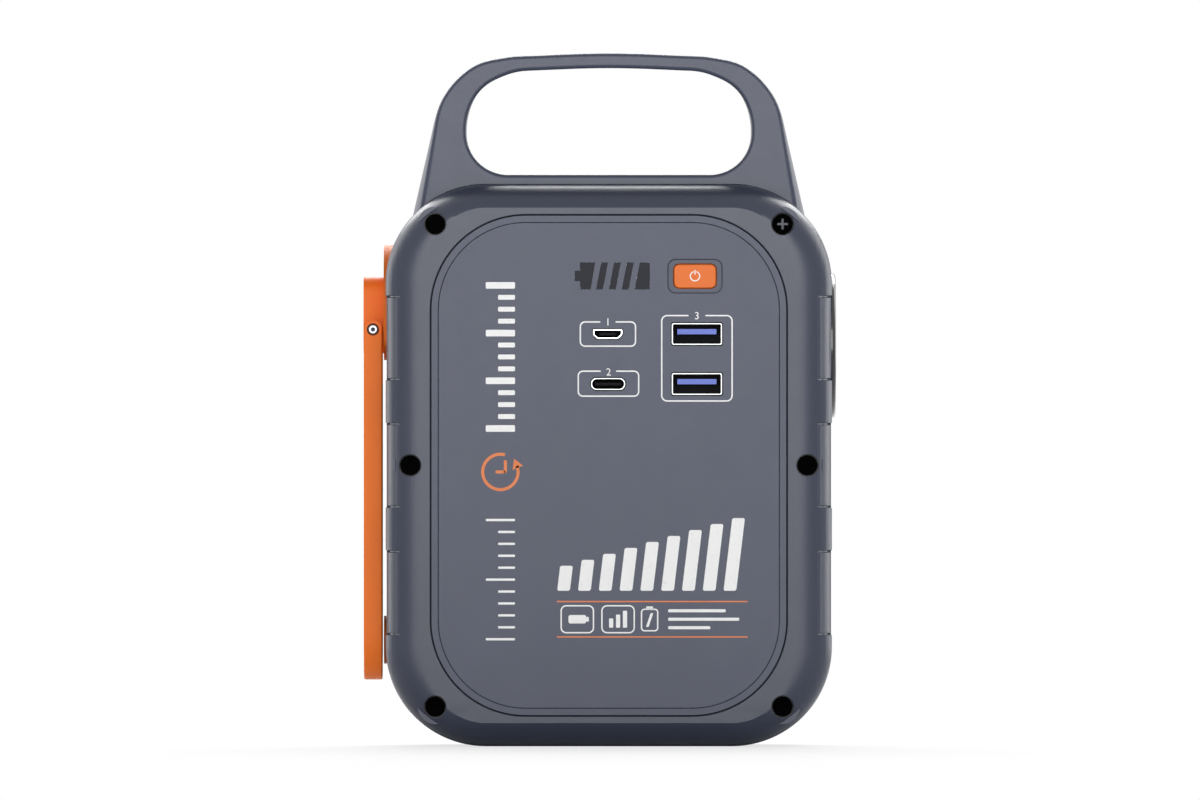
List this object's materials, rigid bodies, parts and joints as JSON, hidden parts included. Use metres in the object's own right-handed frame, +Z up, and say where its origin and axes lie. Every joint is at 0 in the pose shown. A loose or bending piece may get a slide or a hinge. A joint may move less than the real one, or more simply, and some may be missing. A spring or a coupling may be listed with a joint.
{
  "type": "hand crank phone charger",
  "caption": "Box-shaped hand crank power bank with a carry handle, a fold-out crank arm on one side, a lamp on the other, charging sockets, a level gauge and a power button.",
  "frame": {"origin": "middle of the flat base that it stands on", "axes": "+Z up, the front with its sockets faces -Y, +X towards the lamp side, the crank on the -X side"},
  "size_m": [0.1232, 0.0564, 0.1806],
  "materials": {
    "case_grey": "fine matt",
    "panel_grey": "fine matt",
    "handle_grey": "fine matt",
    "crank_orange": "satin",
    "button_orange": "satin",
    "steel": "plain",
    "screw_black": "blackened",
    "seal_black": "plain",
    "port_steel": "plated",
    "port_black": "plain",
    "port_blue": "plain",
    "gauge_smoke": "smoked",
    "guide_clear": "clear",
    "light_white": "plain",
    "board_green": "varnished",
    "chip_black": "plain",
    "cell_wrap": "shrink sleeve",
    "holder_black": "plain",
    "nickel": "plated",
    "bronze": "sintered",
    "copper": "enamelled",
    "gear_nylon": "plain",
    "magnet_dark": "plain",
    "lamp_black": "polished",
    "lamp_lens": "clear",
    "lamp_mirror": "aluminised"
  },
  "bodies": {
    "case": {"front_shell": "case_grey", "rear_shell": "case_grey", "case_seal": "seal_black", "case_screws": "screw_black", "front_panel": "panel_grey", "carry_handle": "handle_grey", "handle_screws": "steel", "level_windows": "gauge_smoke", "light_guide": "guide_clear", "level_lights": "light_white", "usb_a_shells": "port_steel", "usb_a_tongues": "port_blue", "usb_c_shell": "port_steel", "usb_c_tongue": "port_black", "micro_b_shell": "port_steel", "micro_b_tongue": "port_black", "power_switch": "chip_black", "main_board": "board_green", "board_screws": "steel", "board_parts": "chip_black", "battery_cells": "cell_wrap", "battery_straps": "nickel", "battery_holder": "holder_black", "catch_boss": "crank_orange", "catch_magnet": "magnet_dark", "shaft_bushes": "bronze", "gear_axles": "steel", "gear_plate_outer": "steel", "gear_plate_inner": "steel", "plate_spacers": "steel", "plate_screws": "steel", "generator_can": "steel", "stator_core": "magnet_dark", "stator_coils": "copper", "rotor_bushes": "bronze", "lamp_bezel": "lamp_black", "lamp_lens": "lamp_lens", "lamp_reflector": "lamp_mirror", "lamp_board": "board_green", "lamp_chip": "light_white"},
    "crank": {"crank_hub": "crank_orange", "crank_shaft": "steel", "shaft_clip": "steel", "drive_gear": "gear_nylon"},
    "arm": {"crank_arm": "crank_orange", "arm_pin": "steel", "arm_keeper": "steel"},
    "grip": {"crank_grip": "crank_orange"},
    "first_gear": {"gear_1": "gear_nylon"},
    "second_gear": {"gear_2": "gear_nylon"},
    "rotor": {"rotor_shaft": "steel", "rotor_magnet": "magnet_dark", "rotor_pinion": "bronze"},
    "button": {"power_button": "button_orange"}
  },
  "joints": [
    {"name": "crank_turn", "type": "hinge", "parent": "case", "child": "crank", "pos_m": [-0.0587, 0, 0.1156], "axis": [1, 0, 0], "continuous": true},
    {"name": "arm_fold", "type": "hinge", "parent": "crank", "child": "arm", "pos_m": [-0.0615, 0, 0.1086], "axis": [0, 1, 0], "range_deg": [0, 180]},
    {"name": "grip_swing", "type": "hinge", "parent": "arm", "child": "grip", "pos_m": [-0.0615, 0, 0.0284], "axis": [0, 1, 0], "range_deg": [0, 90]},
    {"name": "gear_1_turn", "type": "hinge", "parent": "case", "child": "first_gear", "pos_m": [-0.043, 0, 0.09455], "axis": [1, 0, 0], "continuous": true},
    {"name": "gear_2_turn", "type": "hinge", "parent": "case", "child": "second_gear", "pos_m": [-0.038, 0.003, 0.07392], "axis": [1, 0, 0], "continuous": true},
    {"name": "rotor_turn", "type": "hinge", "parent": "case", "child": "rotor", "pos_m": [-0.02, 0.009, 0.09252], "axis": [1, 0, 0], "continuous": true},
    {"name": "button_press", "type": "slide", "parent": "case", "child": "button", "axis": [0, 1, 0], "range_m": [0, 0.0006], "stiffness_N_per_m": 800, "springref_m": -0.0005}
  ],
  "couplings": [
    {"joint": "gear_1_turn", "follows": "crank_turn", "ratio": -2.5},
    {"joint": "gear_2_turn", "follows": "crank_turn", "ratio": 8.3333},
    {"joint": "rotor_turn", "follows": "crank_turn", "ratio": -33.333},
    {"joint": "grip_swing", "follows": "arm_fold", "ratio": 0.5}
  ]
}
